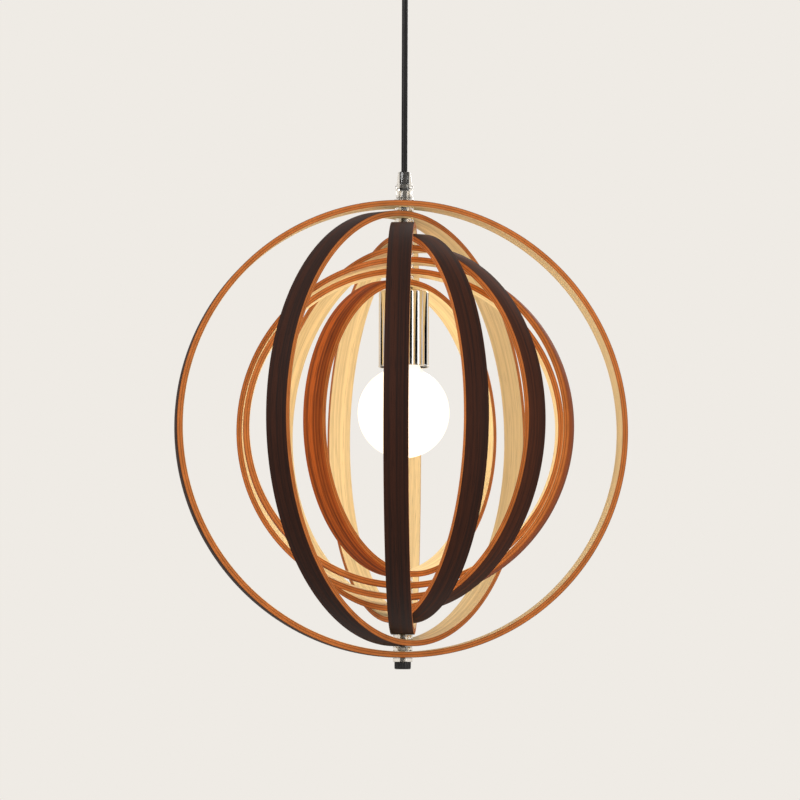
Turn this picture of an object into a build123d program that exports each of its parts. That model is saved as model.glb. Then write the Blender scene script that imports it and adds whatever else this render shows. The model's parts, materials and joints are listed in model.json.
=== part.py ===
"""An orb pendant lamp: eight bentwood hoops nested on one vertical axis, each free to turn.

The row of hoops hangs on a threaded stem at its top poles and is gathered on a thin stud at its
bottom poles. A lampholder in a metal cup and a globe bulb hang on the stem inside. The lamp
hangs by its cord from a ceiling canopy.

Millimetres, +Z up. The origin is on the ceiling, at the middle of the bracket's screw slots.
"""

from build123d import *
from math import cos, radians, sin, sqrt, tan
import os

# ---- Driving dimensions ----

# Hoops, from the outermost to the innermost
hoop_radius = 200.0  # outside, of the outermost hoop
hoop_step = 10.0  # each hoop's radius is this much less than the one before
ply_thickness = 0.6
ply_count = 9
hoop_width = 20.5
hoop_edge_break = 0.5  # sanded off every edge
hoop_angles = (10.5, 56.5, 88.0, -69.0, -45.5, -14.5, 4.0, 54.0)  # degrees from +X, as it hangs

# Clearances
turning_clearance = 0.08  # radial, between a hoop's hole and the shaft that it turns on
thread_clearance = 0.05  # radial, between plain threads
slip_clearance = 0.10  # radial, where a loose piece slides over another
seat_clearance = 0.20  # between a curved hoop and the flat end that it lies on
wire_clearance = 0.15  # radial, round the cord where a grip holds it

# Threaded stem at the top poles
stem_radius = 5.0
stem_wall = 1.0
stem_in_grip = 9.0
stem_in_holder = 7.0
stem_nut_flats = 14.0
stem_nut_height = 3.0
stem_washer_radius = 7.5
stem_washer_thickness = 0.8

# Clear plastic spacers
spacer_radius = 8.5

# Stud at the bottom poles
stud_radius = 2.5
stud_nut_flats = 8.0
stud_nut_height = 3.2
cap_nut_height = 7.0
cap_nut_hex_height = 3.5
cap_nut_cover = 1.5  # of metal over the stud's end
bottom_washer_radius = 8.6
bottom_washer_thickness = 3.4
finial_radius = 7.2
finial_height = 6.4
finial_cover = 1.8  # of metal under the stud's end
finial_edge_round = 1.4
finial_flute_count = 18
finial_flute_radius = 0.55

# Cord
cord_radius = 2.7
cord_free_length = 162.0  # between the two grips
core_radius = 0.9
core_offset = 1.25  # of each of the two cores from the cord's middle

# Clear cord grips, the same at both ends of the cord
grip_flare_radius = 9.0
grip_flare_height = 0.7
grip_waist_radius = 7.2
grip_waist_height = 5.5
grip_shoulder_radius = 8.0
grip_body_height = 14.4
grip_shoulder_round = 1.2
grip_cap_base_radius = 6.7
grip_cap_top_radius = 5.6
grip_cap_height = 11.4
grip_cap_round = 0.8
grip_cap_spigot_radius = 4.4
grip_cap_spigot_length = 3.0

# Lampholder
cup_radius = 22.0
cup_height = 67.0
cup_wall = 0.8
cup_shoulder_round = 2.0
cup_bead_radius = 0.7  # of the rolled rim
holder_radius = 19.0
holder_wall = 2.4
holder_cap_height = 21.0
holder_cap_round = 6.0
holder_top_wall = 6.5
holder_overlap = 3.0  # of the skirt over the cap
insert_height = 7.0
insert_drop = 17.0  # from the top of the holder's cap to the insert
insert_clearance = 0.2
shell_radius = 14.0
shell_wall = 0.5
shell_height = 24.0
contact_radius = 4.0
contact_thickness = 0.8
terminal_offset = 8.5
holder_screw_radius = 1.7
holder_screw_length = 4.0
skirt_length = 42.2
rim_clearance = 3.0  # at the least, between the cup's rim and the globe below it

# Bulb
bulb_radius = 40.0
bulb_glass = 1.0
bulb_neck_radius = 14.2
bulb_neck_length = 7.4  # below the cap, down to where it flares into the globe
bulb_neck_blend = 8.0
bulb_neck_in_cap = 4.0
bulb_neck_taper = 2.5
bulb_cap_radius = 13.1
bulb_cap_wall = 0.4
bulb_cap_round = 1.5
bulb_cap_height = 24.0
insulator_height = 3.0
insulator_base_radius = 11.0
insulator_top_radius = 5.5
bulb_contact_radius = 4.6
bulb_contact_height = 1.2
mount_foot_height = 9.0
mount_post_radius = 3.5
mount_length = 34.0
filament_half_width = 13.0
filament_wire_radius = 0.4
filament_foot = 2.0  # of each lead-in wire from the post's middle
filament_lead = 3.0  # straight down from the post
filament_drop = 12.0  # from the post down to the filament's shoulders
filament_dip = 5.0  # of the filament's middle below its shoulders
filament_bend = 1.5

# Ceiling fitting
canopy_radius = 50.0
canopy_depth = 25.0
canopy_wall = 1.0
canopy_edge_round = 9.0
nipple_length = 14.0
cord_past_nipple = 1.0
nipple_in_grip = 8.0
canopy_nut_flats = 14.0
canopy_nut_height = 3.0
bracket_width = 18.0
bracket_thickness = 1.5
bracket_tab_depth = 13.0
bracket_bend_round = 1.6  # inside the bend
slot_spacing = 60.0
slot_length = 14.0
slot_width = 5.0
side_screw_radius = 2.0
side_screw_drop = 8.0  # from the ceiling to the screws' axis
side_screw_head_radius = 4.0
side_screw_head_height = 2.4
side_screw_reach = 6.0  # of the thread past the bracket's tab
block_length = 24.0
block_width = 13.0
block_height = 10.0
block_edge_round = 1.0
block_pole_spacing = 8.0
block_pole_count = 3
port_radius = 1.5
port_drop = 5.0  # from the top of the block to its ports
block_screw_radius = 1.6
block_screw_length = 3.4
lead_bend = 2.6
lead_run_out = 5.5  # how far a lead goes out past the block before it turns back

# ---- Sizes and heights that follow ----

hoop_thickness = ply_thickness * ply_count
hoop_count = len(hoop_angles)
radii = [hoop_radius - hoop_step * i for i in range(hoop_count)]
innermost_radius = radii[-1] - hoop_thickness
pole_gap = hoop_step - hoop_thickness
grip_height = grip_body_height + grip_cap_height


def rise(radius, reach):
    """How far a circle of this radius falls away from its tangent, at this reach along it."""
    return radius - sqrt(radius**2 - reach**2)


spacer_sag = rise(radii[-2] - hoop_thickness, spacer_radius)
spacer_height = pole_gap - spacer_sag - 2 * seat_clearance
spacer_bore = stem_radius + slip_clearance

canopy_grip_z = -canopy_depth  # where the grip meets the canopy
lamp_grip_top_z = canopy_grip_z - grip_height - cord_free_length
lamp_grip_z = lamp_grip_top_z - grip_height
lamp_z = lamp_grip_z - seat_clearance - hoop_radius  # the middle of the hoops

stem_top_z = lamp_grip_z + stem_in_grip
washer_top_z = lamp_z + innermost_radius - rise(innermost_radius, stem_washer_radius) - seat_clearance
stem_nut_top_z = washer_top_z - stem_washer_thickness
cup_top_z = stem_nut_top_z - stem_nut_height
cup_rim_z = cup_top_z - cup_height
holder_nut_top_z = cup_top_z - cup_wall

# The holder hangs against its nut, or lower where a long cup would touch the globe
contact_drop = insert_drop + insert_height + contact_thickness
bulb_cap_drop = contact_drop + bulb_contact_height + insulator_height + bulb_cap_height
flare_height = sqrt((bulb_radius + bulb_neck_blend) ** 2 - (bulb_neck_radius + bulb_neck_blend) ** 2)
bulb_drop = bulb_cap_drop + bulb_neck_length + flare_height  # from the holder's top to the middle of the globe
rim_to_bulb = sqrt(bulb_radius**2 - cup_radius**2) + rim_clearance
holder_top_z = min(holder_nut_top_z - stem_nut_height, cup_rim_z - rim_to_bulb + bulb_drop)
stem_bottom_z = holder_top_z - stem_in_holder
holder_cap_rim_z = holder_top_z - holder_cap_height
insert_top_z = holder_top_z - insert_drop
insert_bottom_z = insert_top_z - insert_height
contact_bottom_z = insert_bottom_z - contact_thickness
skirt_top_z = holder_cap_rim_z + holder_overlap

bulb_z = holder_top_z - bulb_drop  # the middle of the globe
bulb_tip_z = contact_bottom_z
bulb_cap_top_z = bulb_tip_z - bulb_contact_height - insulator_height
bulb_cap_rim_z = bulb_cap_top_z - bulb_cap_height

nipple_bottom_z = canopy_grip_z - nipple_in_grip
cord_top_z = nipple_bottom_z + nipple_length + cord_past_nipple
cord_bottom_z = stem_bottom_z

stud_top_z = lamp_z - innermost_radius + seat_clearance + cap_nut_height - cap_nut_cover
bottom_washer_top_z = lamp_z - hoop_radius - seat_clearance
finial_top_z = bottom_washer_top_z - bottom_washer_thickness
stud_bottom_z = finial_top_z - finial_height + finial_cover

bracket_underside_z = -bracket_thickness
block_bottom_z = bracket_underside_z - block_height


# ---- Shared builders ----


def tube(radius, bore, z_from, z_to):
    """A plain round tube or, with a bore of 0, a rod on the lamp's axis."""
    with BuildPart() as piece:
        with BuildSketch(Plane.XY.offset(z_from)):
            Circle(radius)
            if bore > 0:
                Circle(bore, mode=Mode.SUBTRACT)
        extrude(amount=z_to - z_from)
    return piece


def hex_nut(flats, height, bore, top_z):
    """A hexagon nut with its corners turned away at both faces, hanging down from top_z."""
    corner = flats / sqrt(3)
    turned = (corner - flats / 2) * tan(radians(30))
    with BuildPart() as nut:
        with BuildSketch(Plane.XY.offset(top_z)):
            RegularPolygon(flats / 2, 6, major_radius=False)
        extrude(amount=-height)
        with BuildSketch(Plane.XZ):
            with BuildLine():
                Polyline(
                    (0, top_z),
                    (flats / 2, top_z),
                    (corner, top_z - turned),
                    (corner, top_z - height + turned),
                    (flats / 2, top_z - height),
                    (0, top_z - height),
                    close=True,
                )
            make_face()
        revolve(axis=Axis.Z, mode=Mode.INTERSECT)
        with BuildSketch(Plane.XY.offset(top_z)):
            Circle(bore)
        extrude(amount=-height, mode=Mode.SUBTRACT)
    return nut


def cord_grip(base_z, outwards):
    """The body and the clamping cap of a cord grip. outwards is +1 where the cord leaves upwards, -1 down."""

    def at(radius, height):
        return (radius, base_z + outwards * height)

    cap_seat = grip_body_height - grip_cap_spigot_length
    cord_bore = cord_radius + wire_clearance
    screw_bore = stem_radius + thread_clearance
    spigot_bore = grip_cap_spigot_radius + thread_clearance

    with BuildPart() as body:
        with BuildSketch(Plane.XZ):
            with BuildLine():
                Line(at(screw_bore, 0), at(grip_flare_radius, 0))
                Line(at(grip_flare_radius, 0), at(grip_flare_radius, grip_flare_height))
                TangentArc(
                    at(grip_waist_radius, grip_waist_height),
                    at(grip_flare_radius, grip_flare_height),
                    tangent=(0, -outwards),
                )
                Line(
                    at(grip_waist_radius, grip_waist_height),
                    at(grip_shoulder_radius, grip_body_height - grip_shoulder_round),
                )
                TangentArc(
                    at(grip_shoulder_radius, grip_body_height - grip_shoulder_round),
                    at(grip_shoulder_radius - grip_shoulder_round, grip_body_height),
                    tangent=(0, outwards),
                )
                Line(
                    at(grip_shoulder_radius - grip_shoulder_round, grip_body_height),
                    at(spigot_bore, grip_body_height),
                )
                Line(at(spigot_bore, grip_body_height), at(spigot_bore, cap_seat))
                Line(at(spigot_bore, cap_seat), at(cord_bore, cap_seat))
                Line(at(cord_bore, cap_seat), at(cord_bore, stem_in_grip))
                Line(at(cord_bore, stem_in_grip), at(screw_bore, stem_in_grip))
                Line(at(screw_bore, stem_in_grip), at(screw_bore, 0))
            make_face()
        revolve(axis=Axis.Z)

    with BuildPart() as cap:
        with BuildSketch(Plane.XZ):
            with BuildLine():
                Polyline(
                    at(cord_bore, cap_seat),
                    at(grip_cap_spigot_radius, cap_seat),
                    at(grip_cap_spigot_radius, grip_body_height),
                    at(grip_cap_base_radius, grip_body_height),
                    at(grip_cap_top_radius, grip_height),
                    at(cord_bore, grip_height),
                    close=True,
                )
            make_face()
        revolve(axis=Axis.Z)
        top_edges = cap.edges().filter_by(GeomType.CIRCLE).filter_by_position(
            Axis.Z, base_z + outwards * grip_height - 0.01, base_z + outwards * grip_height + 0.01
        )
        fillet(top_edges.sort_by(SortBy.RADIUS)[-1], grip_cap_round)
    return body, cap


def route(points, bend):
    """A path of straight runs through the points, with each corner rounded to the bend radius."""
    places = [Vector(*p) for p in points]
    with BuildLine() as path:
        start = places[0]
        for corner, after in zip(places[1:-1], places[2:]):
            before = (start - corner).normalized()
            onwards = (after - corner).normalized()
            half_turn = radians(180 - before.get_angle(onwards)) / 2
            setback = bend * sin(half_turn) / cos(half_turn)
            inward = (before + onwards).normalized()
            to_arc = bend / cos(half_turn) - bend
            Line(start, corner + before * setback)
            ThreePointArc(
                corner + before * setback, corner + inward * to_arc, corner + onwards * setback
            )
            start = corner + onwards * setback
        Line(start, places[-1])
    return path.wires()[0]


def wires(radius, paths):
    """Round wires of one size, one along each path."""
    with BuildPart() as bundle:
        for path in paths:
            with BuildSketch(Plane(origin=path @ 0, z_dir=path % 0)):
                Circle(radius)
            sweep(path=path)
    return bundle


os.makedirs("parts", exist_ok=True)


def finish(name, piece):
    """Names a finished piece and writes it."""
    piece.part.label = name
    export_step(piece.part, f"parts/{name}.step")


# ---- Ceiling fitting ----


def ceiling_bracket():
    """A strip bent down at both ends, slotted for the ceiling screws and tapped for the side screws."""
    inner_wall = canopy_radius - canopy_wall
    tab_face = sqrt(inner_wall**2 - (bracket_width / 2) ** 2) - seat_clearance
    with BuildPart() as bracket:
        with BuildSketch(Plane.XZ.offset(-bracket_width / 2)):
            with BuildLine():
                Polyline(
                    (-tab_face, 0),
                    (tab_face, 0),
                    (tab_face, -bracket_tab_depth),
                    (tab_face - bracket_thickness, -bracket_tab_depth),
                    (tab_face - bracket_thickness, -bracket_thickness),
                    (-tab_face + bracket_thickness, -bracket_thickness),
                    (-tab_face + bracket_thickness, -bracket_tab_depth),
                    (-tab_face, -bracket_tab_depth),
                    close=True,
                )
            make_face()
        extrude(amount=bracket_width)
        fillet(bracket.edges().filter_by(Axis.Y).group_by(Axis.Z)[-2], bracket_bend_round)
        outer_bends = bracket.edges().filter_by(Axis.Y).group_by(Axis.Z)[-1]
        fillet(outer_bends, bracket_bend_round + bracket_thickness)
        with BuildSketch(Plane.XY):
            with Locations((-slot_spacing / 2, 0), (slot_spacing / 2, 0)):
                SlotOverall(slot_length, slot_width)
        extrude(amount=-bracket_thickness, mode=Mode.SUBTRACT)
        with BuildSketch(Plane.YZ):
            with Locations((0, -side_screw_drop)):
                Circle(side_screw_radius + thread_clearance)
        extrude(amount=canopy_radius, both=True, mode=Mode.SUBTRACT)
    return bracket, tab_face


def canopy():
    """The cup that covers the ceiling fitting, open at the ceiling."""
    with BuildPart() as cup:
        with BuildSketch():
            Circle(canopy_radius)
        extrude(amount=-canopy_depth)
        fillet(cup.edges().group_by(Axis.Z)[0], canopy_edge_round)
        offset(amount=-canopy_wall, openings=cup.faces().sort_by(Axis.Z)[-1])
        with BuildSketch(Plane.XY.offset(-canopy_depth)):
            Circle(stem_radius + slip_clearance)
        extrude(amount=2 * canopy_wall, mode=Mode.SUBTRACT)
        with BuildSketch(Plane.YZ):
            with Locations((0, -side_screw_drop)):
                Circle(side_screw_radius + slip_clearance)
        extrude(amount=canopy_radius, both=True, mode=Mode.SUBTRACT)
    return cup


def side_screws(tab_face):
    """The two round-headed screws that hold the canopy to the bracket."""
    head_inner = canopy_radius + slip_clearance
    with BuildPart() as screws:
        for side in (-1, 1):
            with BuildSketch(Plane.YZ.offset(side * (tab_face - side_screw_reach))):
                with Locations((0, -side_screw_drop)):
                    Circle(side_screw_radius)
            extrude(amount=side * (head_inner - tab_face + side_screw_reach))
            with BuildSketch(Plane.YZ.offset(side * head_inner)):
                with Locations((0, -side_screw_drop)):
                    Circle(side_screw_head_radius)
            extrude(amount=side * side_screw_head_height)
        outer_rims = screws.edges().filter_by(GeomType.CIRCLE).group_by(Axis.X)
        fillet(outer_rims[0] + outer_rims[-1], side_screw_head_height / 2)
    return screws


def terminal_block():
    """A block of screw terminals under the bracket: ports right through, and a screw well over each side of a port."""
    poles = [block_pole_spacing * (i - (block_pole_count - 1) / 2) for i in range(block_pole_count)]
    with BuildPart() as block:
        with BuildSketch(Plane.XY.offset(bracket_underside_z)):
            Rectangle(block_length, block_width)
        extrude(amount=-block_height)
        fillet(block.edges().filter_by(Axis.Z), block_edge_round)
        with BuildSketch(Plane.XZ):
            with Locations(*[(x, bracket_underside_z - port_drop) for x in poles]):
                Circle(port_radius)
        extrude(amount=block_width, both=True, mode=Mode.SUBTRACT)
        with BuildSketch(Plane.XY.offset(block_bottom_z)):
            with Locations(*[(x, side * block_width / 4) for x in poles for side in (-1, 1)]):
                Circle(block_screw_radius + thread_clearance)
        extrude(amount=block_height - port_drop, mode=Mode.SUBTRACT)
    screw_top_z = bracket_underside_z - port_drop - core_radius - thread_clearance
    with BuildPart() as screws:
        with BuildSketch(Plane.XY.offset(screw_top_z)):
            with Locations(*[(x, side * block_width / 4) for x in poles for side in (-1, 1)]):
                Circle(block_screw_radius)
        extrude(amount=-min(block_screw_length, screw_top_z - block_bottom_z))
    return block, screws


def canopy_leads():
    """The two cores from the cord's end, round the side of the block and into its outer ports."""
    turn_z = (cord_top_z + block_bottom_z) / 2
    out_y = -block_width / 2 - lead_run_out
    port_z = bracket_underside_z - port_drop
    paths = []
    for side in (-1, 1):
        port_x = side * block_pole_spacing * (block_pole_count - 1) / 2
        paths.append(
            route(
                [
                    (side * core_offset, 0, cord_top_z),
                    (side * core_offset, 0, turn_z),
                    (port_x, out_y, turn_z),
                    (port_x, out_y, port_z),
                    (port_x, -block_width / 4 + block_screw_radius, port_z),
                ],
                min(lead_bend, 0.9 * (turn_z - cord_top_z)),
            )
        )
    return wires(core_radius, paths)


bracket, bracket_tab_face = ceiling_bracket()
finish("ceiling_bracket", bracket)
finish("canopy", canopy())
finish("canopy_side_screws", side_screws(bracket_tab_face))
block, block_screws = terminal_block()
finish("terminal_block", block)
finish("terminal_screws", block_screws)
finish("canopy_leads", canopy_leads())

finish("canopy_nipple", tube(stem_radius, stem_radius - stem_wall, nipple_bottom_z, nipple_bottom_z + nipple_length))
canopy_nut_top_z = canopy_grip_z + canopy_wall + canopy_nut_height
finish(
    "canopy_nut",
    hex_nut(canopy_nut_flats, canopy_nut_height, stem_radius + thread_clearance, canopy_nut_top_z),
)
canopy_grip_body, canopy_grip_cap = cord_grip(canopy_grip_z, -1)
finish("canopy_grip_body", canopy_grip_body)
finish("canopy_grip_cap", canopy_grip_cap)


# ---- Cord, grip and stem ----

finish("power_cord", tube(cord_radius, 0, cord_bottom_z, cord_top_z))
lamp_grip_body, lamp_grip_cap = cord_grip(lamp_grip_z, 1)
finish("lamp_grip_body", lamp_grip_body)
finish("lamp_grip_cap", lamp_grip_cap)
finish("stem_tube", tube(stem_radius, stem_radius - stem_wall, stem_bottom_z, stem_top_z))
finish(
    "stem_washer",
    tube(stem_washer_radius, stem_radius + slip_clearance, stem_nut_top_z, washer_top_z),
)
finish("stem_nut", hex_nut(stem_nut_flats, stem_nut_height, stem_radius + thread_clearance, stem_nut_top_z))


def spacers(seats):
    """A clear plastic ring standing on each seat height."""
    with BuildPart() as rings:
        for z in seats:
            with BuildSketch(Plane.XY.offset(z)):
                Circle(spacer_radius)
                Circle(spacer_bore, mode=Mode.SUBTRACT)
            extrude(amount=spacer_height)
    return rings


finish("top_spacers", spacers([lamp_z + r + seat_clearance for r in radii[1:]]))


# ---- Hoops ----


def hoop(radius, angle):
    """One bent strip, standing in the vertical plane at this angle, drilled at both poles."""
    along = (cos(radians(angle)), sin(radians(angle)), 0)
    square = (sin(radians(angle)), -cos(radians(angle)), 0)
    with BuildPart() as strip:
        with BuildSketch(Plane(origin=(0, 0, lamp_z), x_dir=along, z_dir=square)):
            Circle(radius)
            Circle(radius - hoop_thickness, mode=Mode.SUBTRACT)
        extrude(amount=hoop_width / 2, both=True)
        chamfer(strip.edges().filter_by(GeomType.CIRCLE), hoop_edge_break)
        with BuildSketch(Plane.XY.offset(lamp_z)):
            Circle(stem_radius + turning_clearance)
        extrude(amount=radius + hoop_thickness, mode=Mode.SUBTRACT)
        with BuildSketch(Plane.XY.offset(lamp_z)):
            Circle(stud_radius + turning_clearance)
        extrude(amount=-radius - hoop_thickness, mode=Mode.SUBTRACT)
    return strip


for number, (radius, angle) in enumerate(zip(radii, hoop_angles), start=1):
    finish(f"hoop_{number}", hoop(radius, angle))


# ---- Stud at the bottom poles ----


def finial():
    """A knob nut: a drilled button with a fluted side and a rounded lower edge."""
    bottom_z = finial_top_z - finial_height
    with BuildPart() as knob:
        with BuildSketch(Plane.XY.offset(bottom_z)):
            Circle(finial_radius)
        extrude(amount=finial_height)
        fillet(knob.edges().group_by(Axis.Z)[0], finial_edge_round)
        with BuildSketch(Plane.XY.offset(bottom_z + finial_edge_round)):
            with PolarLocations(finial_radius, finial_flute_count):
                Circle(finial_flute_radius)
        extrude(amount=finial_height - 2 * finial_edge_round, mode=Mode.SUBTRACT)
        with BuildSketch(Plane.XY.offset(finial_top_z)):
            Circle(stud_radius + thread_clearance)
        extrude(amount=stud_bottom_z - finial_top_z, mode=Mode.SUBTRACT)
    return knob


def cap_nut():
    """A domed nut on the stud's upper end, inside the innermost hoop."""
    base_z = lamp_z - innermost_radius + rise(innermost_radius, stud_nut_flats / 2) + seat_clearance
    dome_radius = stud_nut_flats / 2
    with BuildPart() as nut:
        with BuildSketch(Plane.XY.offset(base_z)):
            RegularPolygon(stud_nut_flats / 2, 6, major_radius=False)
        extrude(amount=cap_nut_hex_height)
        with BuildSketch(Plane.XY.offset(base_z + cap_nut_hex_height)):
            Circle(dome_radius)
        extrude(amount=cap_nut_height - cap_nut_hex_height)
        fillet(nut.edges().group_by(Axis.Z)[-1], 0.8 * min(dome_radius, cap_nut_height - cap_nut_hex_height))
        with BuildSketch(Plane.XY.offset(base_z)):
            Circle(stud_radius + thread_clearance)
        extrude(amount=stud_top_z - base_z, mode=Mode.SUBTRACT)
    return nut


finish("bottom_stud", tube(stud_radius, 0, stud_bottom_z, stud_top_z))
bottom_nut_z = lamp_z - hoop_radius + hoop_thickness + rise(hoop_radius, stud_nut_flats / 2) + seat_clearance
finish(
    "bottom_nut",
    hex_nut(stud_nut_flats, stud_nut_height, stud_radius + thread_clearance, bottom_nut_z + stud_nut_height),
)
finish(
    "bottom_spacers",
    spacers([lamp_z - r + hoop_thickness + spacer_sag + seat_clearance for r in radii[:-1]]),
)
finish(
    "bottom_washer",
    tube(bottom_washer_radius, stud_radius + slip_clearance, finial_top_z, bottom_washer_top_z),
)
finish("bottom_finial", finial())
finish("stud_cap_nut", cap_nut())


# ---- Lampholder ----


def holder_cup():
    """The metal cup over the lampholder: spun from sheet, open below, its rim rolled to a bead."""
    with BuildPart() as cup:
        with BuildSketch(Plane.XY.offset(cup_top_z)):
            Circle(cup_radius)
        extrude(amount=-cup_height)
        fillet(cup.edges().group_by(Axis.Z)[-1], cup_shoulder_round)
        offset(amount=-cup_wall, openings=cup.faces().sort_by(Axis.Z)[0])
        with BuildSketch(Plane.XY.offset(cup_top_z)):
            Circle(stem_radius + slip_clearance)
        extrude(amount=-2 * cup_wall, mode=Mode.SUBTRACT)
        with BuildSketch(Plane.XZ):
            with Locations((cup_radius - cup_wall / 2, cup_rim_z + cup_bead_radius)):
                Circle(cup_bead_radius)
        revolve(axis=Axis.Z)
    return cup


def holder_cap():
    """The lampholder's domed cap, with the thick tapped neck that screws on the stem."""
    with BuildPart() as cap:
        with BuildSketch(Plane.XY.offset(holder_top_z)):
            Circle(holder_radius - holder_wall)
        extrude(amount=-holder_cap_height)
        fillet(cap.edges().group_by(Axis.Z)[-1], holder_cap_round)
        with BuildSketch(Plane.XY.offset(holder_cap_rim_z)):
            Circle(holder_radius - 2 * holder_wall)
        extrude(amount=holder_cap_height - holder_top_wall, mode=Mode.SUBTRACT)
        with BuildSketch(Plane.XY.offset(holder_top_z)):
            Circle(stem_radius + thread_clearance)
        extrude(amount=-holder_top_wall, mode=Mode.SUBTRACT)
    return cap


def holder_insert():
    """The round porcelain insert that carries the contacts, with a screw hole at each terminal."""
    with BuildPart() as insert:
        with BuildSketch(Plane.XY.offset(insert_bottom_z)):
            Circle(holder_radius - 2 * holder_wall - insert_clearance)
        extrude(amount=insert_height)
        with BuildSketch(Plane.XY.offset(insert_top_z)):
            with Locations((-terminal_offset, 0), (terminal_offset, 0)):
                Circle(holder_screw_radius + thread_clearance)
        extrude(amount=-holder_screw_length, mode=Mode.SUBTRACT)
    with BuildPart() as screws:
        with BuildSketch(Plane.XY.offset(insert_top_z - holder_screw_length)):
            with Locations((-terminal_offset, 0), (terminal_offset, 0)):
                Circle(holder_screw_radius)
        extrude(amount=holder_screw_length)
    return insert, screws


def screw_shell():
    """The brass shell that takes the bulb, hanging from the insert."""
    with BuildPart() as shell:
        with BuildSketch(Plane.XY.offset(insert_bottom_z)):
            Circle(shell_radius)
        extrude(amount=-shell_height)
        with BuildSketch(Plane.XY.offset(insert_bottom_z - shell_wall)):
            Circle(shell_radius - shell_wall)
        extrude(amount=-shell_height, mode=Mode.SUBTRACT)
        with BuildSketch(Plane.XY.offset(insert_bottom_z)):
            Circle(contact_radius + insert_clearance)
        extrude(amount=-shell_wall, mode=Mode.SUBTRACT)
    return shell


def holder_leads():
    """The two cores from the cord's end inside the holder's cap to its terminals."""
    turn_z = (cord_bottom_z + insert_top_z) / 2
    drop = cord_bottom_z - turn_z
    paths = [
        route(
            [
                (side * core_offset, 0, cord_bottom_z),
                (side * core_offset, 0, turn_z),
                (side * terminal_offset, 0, turn_z),
                (side * terminal_offset, 0, insert_top_z),
            ],
            min(0.9 * drop, 0.45 * (terminal_offset - core_offset)),
        )
        for side in (-1, 1)
    ]
    return wires(core_radius, paths)


finish("holder_cup", holder_cup())
finish("holder_nut", hex_nut(stem_nut_flats, stem_nut_height, stem_radius + thread_clearance, holder_nut_top_z))
finish("holder_cap", holder_cap())
finish(
    "holder_skirt",
    tube(
        holder_radius,
        holder_radius - holder_wall + thread_clearance,
        skirt_top_z - skirt_length,
        skirt_top_z,
    ),
)
insert, insert_screws = holder_insert()
finish("holder_insert", insert)
finish("holder_screws", insert_screws)
finish("holder_screw_shell", screw_shell())
finish("holder_contact", tube(contact_radius, 0, contact_bottom_z, insert_bottom_z))
finish("holder_leads", holder_leads())


# ---- Bulb ----

bulb_mouth_radius = bulb_cap_radius - bulb_cap_wall - thread_clearance
bulb_neck_top_z = bulb_cap_rim_z + bulb_neck_in_cap


def bulb_globe():
    """The blown glass: a globe whose neck grows out of it in one concave curve and narrows into its cap."""
    blend_r = bulb_neck_radius + bulb_neck_blend
    blend_z = bulb_z + flare_height
    with BuildPart() as glass:
        for inset, mode in ((0, Mode.ADD), (bulb_glass, Mode.SUBTRACT)):
            globe = bulb_radius - inset
            share = globe / (bulb_radius + bulb_neck_blend)
            join = (blend_r * share, bulb_z + (blend_z - bulb_z) * share)
            neck = bulb_neck_radius - inset
            mouth = bulb_mouth_radius - inset
            with BuildSketch(Plane.XZ):
                with BuildLine():
                    ThreePointArc((0, bulb_z - globe), (globe, bulb_z), join)
                    TangentArc((neck, blend_z), join, tangent=(0, -1))
                    Polyline(
                        (neck, blend_z),
                        (neck, bulb_cap_rim_z - bulb_neck_taper),
                        (mouth, bulb_cap_rim_z - slip_clearance),
                        (mouth, bulb_neck_top_z),
                        (0, bulb_neck_top_z),
                        (0, bulb_z - globe),
                    )
                make_face()
            revolve(axis=Axis.Z, mode=mode)
    return glass


def bulb_cap():
    """The plated cap, open below for the glass and above for the insulator."""
    with BuildPart() as cap:
        with BuildSketch(Plane.XY.offset(bulb_cap_top_z)):
            Circle(bulb_cap_radius)
        extrude(amount=-bulb_cap_height)
        chamfer(cap.edges().group_by(Axis.Z)[-1], bulb_cap_round)
        offset(amount=-bulb_cap_wall, openings=cap.faces().sort_by(Axis.Z)[0])
        with BuildSketch(Plane.XY.offset(bulb_cap_top_z)):
            Circle(insulator_top_radius)
        extrude(amount=-2 * bulb_cap_wall, mode=Mode.SUBTRACT)
    return cap


def cone(base_radius, top_radius, base_z, height):
    """A blunt cone on the lamp's axis."""
    with BuildPart() as piece:
        with BuildSketch(Plane.XZ):
            with BuildLine():
                Polyline(
                    (0, base_z),
                    (base_radius, base_z),
                    (top_radius, base_z + height),
                    (0, base_z + height),
                    close=True,
                )
            make_face()
        revolve(axis=Axis.Z)
    return piece


def bulb_mount():
    """The glass post inside the bulb, flared to the neck that it is sealed to."""
    foot_radius = bulb_mouth_radius - bulb_glass - slip_clearance
    foot_z = bulb_neck_top_z - mount_foot_height
    with BuildPart() as post:
        with BuildSketch(Plane.XZ):
            with BuildLine():
                Polyline(
                    (mount_post_radius, foot_z),
                    (mount_post_radius, bulb_neck_top_z - mount_length),
                    (0, bulb_neck_top_z - mount_length),
                    (0, bulb_neck_top_z),
                    (foot_radius, bulb_neck_top_z),
                )
                TangentArc((mount_post_radius, foot_z), (foot_radius, bulb_neck_top_z), tangent=(0, 1))
            make_face()
        revolve(axis=Axis.Z)
    return post


def bulb_filament():
    """The lead-in wires and the filament between them, as one bent wire."""
    foot_z = bulb_neck_top_z - mount_length
    shoulder_z = foot_z - filament_drop
    path = route(
        [
            (-filament_foot, 0, foot_z),
            (-filament_foot, 0, foot_z - filament_lead),
            (-filament_half_width, 0, shoulder_z),
            (0, 0, shoulder_z - filament_dip),
            (filament_half_width, 0, shoulder_z),
            (filament_foot, 0, foot_z - filament_lead),
            (filament_foot, 0, foot_z),
        ],
        filament_bend,
    )
    return wires(filament_wire_radius, [path])


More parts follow.
